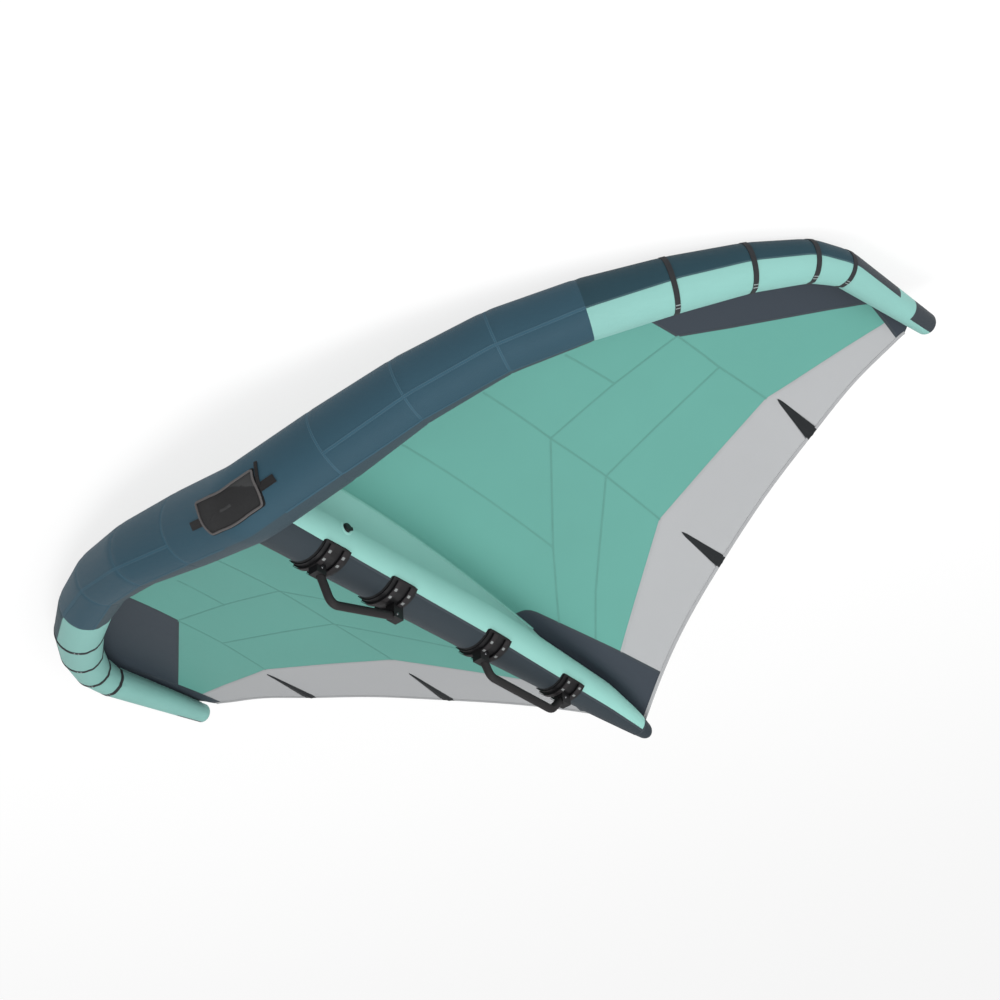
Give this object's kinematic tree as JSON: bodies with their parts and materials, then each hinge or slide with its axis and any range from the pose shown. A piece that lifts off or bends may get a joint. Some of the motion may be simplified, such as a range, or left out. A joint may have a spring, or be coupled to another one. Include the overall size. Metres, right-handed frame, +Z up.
{
  "type": "wingfoil wing",
  "caption": "Hand-held inflatable wing with a swept, arched leading edge tube, a centre strut with rigid grips and a sewn cloth canopy.",
  "frame": {"origin": "middle of the bounding box on the ground, with the wing parked upside down on its leading edge", "axes": "+X towards the wing's left tip, +Y from the leading edge towards the trailing edge, +Z up, from the canopy towards the grips"},
  "size_m": [3.2576, 1.9366, 0.7952],
  "materials": {
    "teal_cloth": "woven polyester, dark teal",
    "mint_cloth": "woven polyester, mint",
    "dark_cloth": "woven polyester, dark grey",
    "black_cloth": "coarse weave",
    "webbing": "woven strap",
    "mint_canopy": "ripstop, mint",
    "grey_canopy": "ripstop, light grey",
    "dark_canopy": "ripstop, dark grey",
    "bladder_film": "smooth film",
    "black_plastic": "moulded",
    "black_foam": "soft foam",
    "black_metal": "anodised",
    "black_rubber": "smooth",
    "batten_plastic": "smooth",
    "steel": "stainless"
  },
  "bodies": {
    "wing": {"le_casing_centre": "teal_cloth", "le_casing_inner_left": "teal_cloth", "le_casing_inner_right": "teal_cloth", "le_casing_left": "mint_cloth", "le_casing_right": "mint_cloth", "le_tip_cap_left": "dark_cloth", "le_tip_cap_right": "dark_cloth", "le_bladder": "bladder_film", "strut_sleeve_lower": "dark_cloth", "strut_sleeve_upper": "mint_cloth", "strut_bladder": "bladder_film", "strut_tail_cap": "dark_cloth", "strut_web_left": "mint_cloth", "strut_web_right": "mint_cloth", "canopy_main_left": "mint_canopy", "canopy_main_right": "mint_canopy", "canopy_tip_panel_left": "dark_canopy", "canopy_tip_panel_right": "dark_canopy", "canopy_grey_panel_left": "grey_canopy", "canopy_grey_panel_right": "grey_canopy", "canopy_centre_panel_left": "dark_canopy", "canopy_centre_panel_right": "dark_canopy", "canopy_tip_corner_left": "dark_canopy", "canopy_tip_corner_right": "dark_canopy", "batten_patch_inner_left": "dark_cloth", "batten_patch_inner_right": "dark_cloth", "batten_patch_outer_left": "dark_cloth", "batten_patch_outer_right": "dark_cloth", "batten_inner_left": "batten_plastic", "batten_inner_right": "batten_plastic", "batten_outer_left": "batten_plastic", "batten_outer_right": "batten_plastic", "trailing_edge_hem": "dark_cloth", "bracket_patch_1": "dark_cloth", "bracket_patch_2": "dark_cloth", "bracket_patch_3": "dark_cloth", "bracket_patch_4": "dark_cloth", "grip_bracket_1": "black_plastic", "grip_bracket_2": "black_plastic", "grip_bracket_3": "black_plastic", "grip_bracket_4": "black_plastic", "clamp_screw_1": "steel", "clamp_screw_2": "steel", "clamp_screw_3": "steel", "clamp_screw_4": "steel", "front_grip_core": "black_metal", "rear_grip_core": "black_metal", "front_grip_foam": "black_foam", "rear_grip_foam": "black_foam", "front_handle_patch": "black_cloth", "front_handle_pad": "black_cloth", "front_handle_tab_left": "webbing", "front_handle_tab_right": "webbing", "front_handle_strap": "webbing", "main_valve_base": "black_plastic", "strut_valve_base": "black_plastic"},
    "main_cap": {"main_valve_cap": "black_plastic"},
    "main_flap": {"main_valve_flap": "black_rubber"},
    "strut_cap": {"strut_valve_cap": "black_plastic"},
    "strut_flap": {"strut_valve_flap": "black_rubber"}
  },
  "joints": [
    {"name": "main_valve_cap_hinge", "type": "hinge", "parent": "wing", "child": "main_cap", "pos_m": [0.26539, -0.64507, 0.29324], "axis": [-0.2672, 0.3421, -0.9009], "range_deg": [0, 150]},
    {"name": "main_valve_flap_slide", "type": "slide", "parent": "wing", "child": "main_flap", "axis": [0.1155, -0.9168, -0.3824], "range_m": [0, 0.003], "stiffness_N_per_m": 25, "springref_m": -0.0005},
    {"name": "strut_valve_cap_hinge", "type": "hinge", "parent": "wing", "child": "strut_cap", "pos_m": [-0.09683, -0.51004, 0.36643], "axis": [0.1219, 0.2165, -0.9686], "range_deg": [0, 150]},
    {"name": "strut_valve_flap_slide", "type": "slide", "parent": "wing", "child": "strut_flap", "axis": [0.9925, -0.0266, 0.1189], "range_m": [0, 0.002], "stiffness_N_per_m": 15, "springref_m": -0.0005}
  ]
}
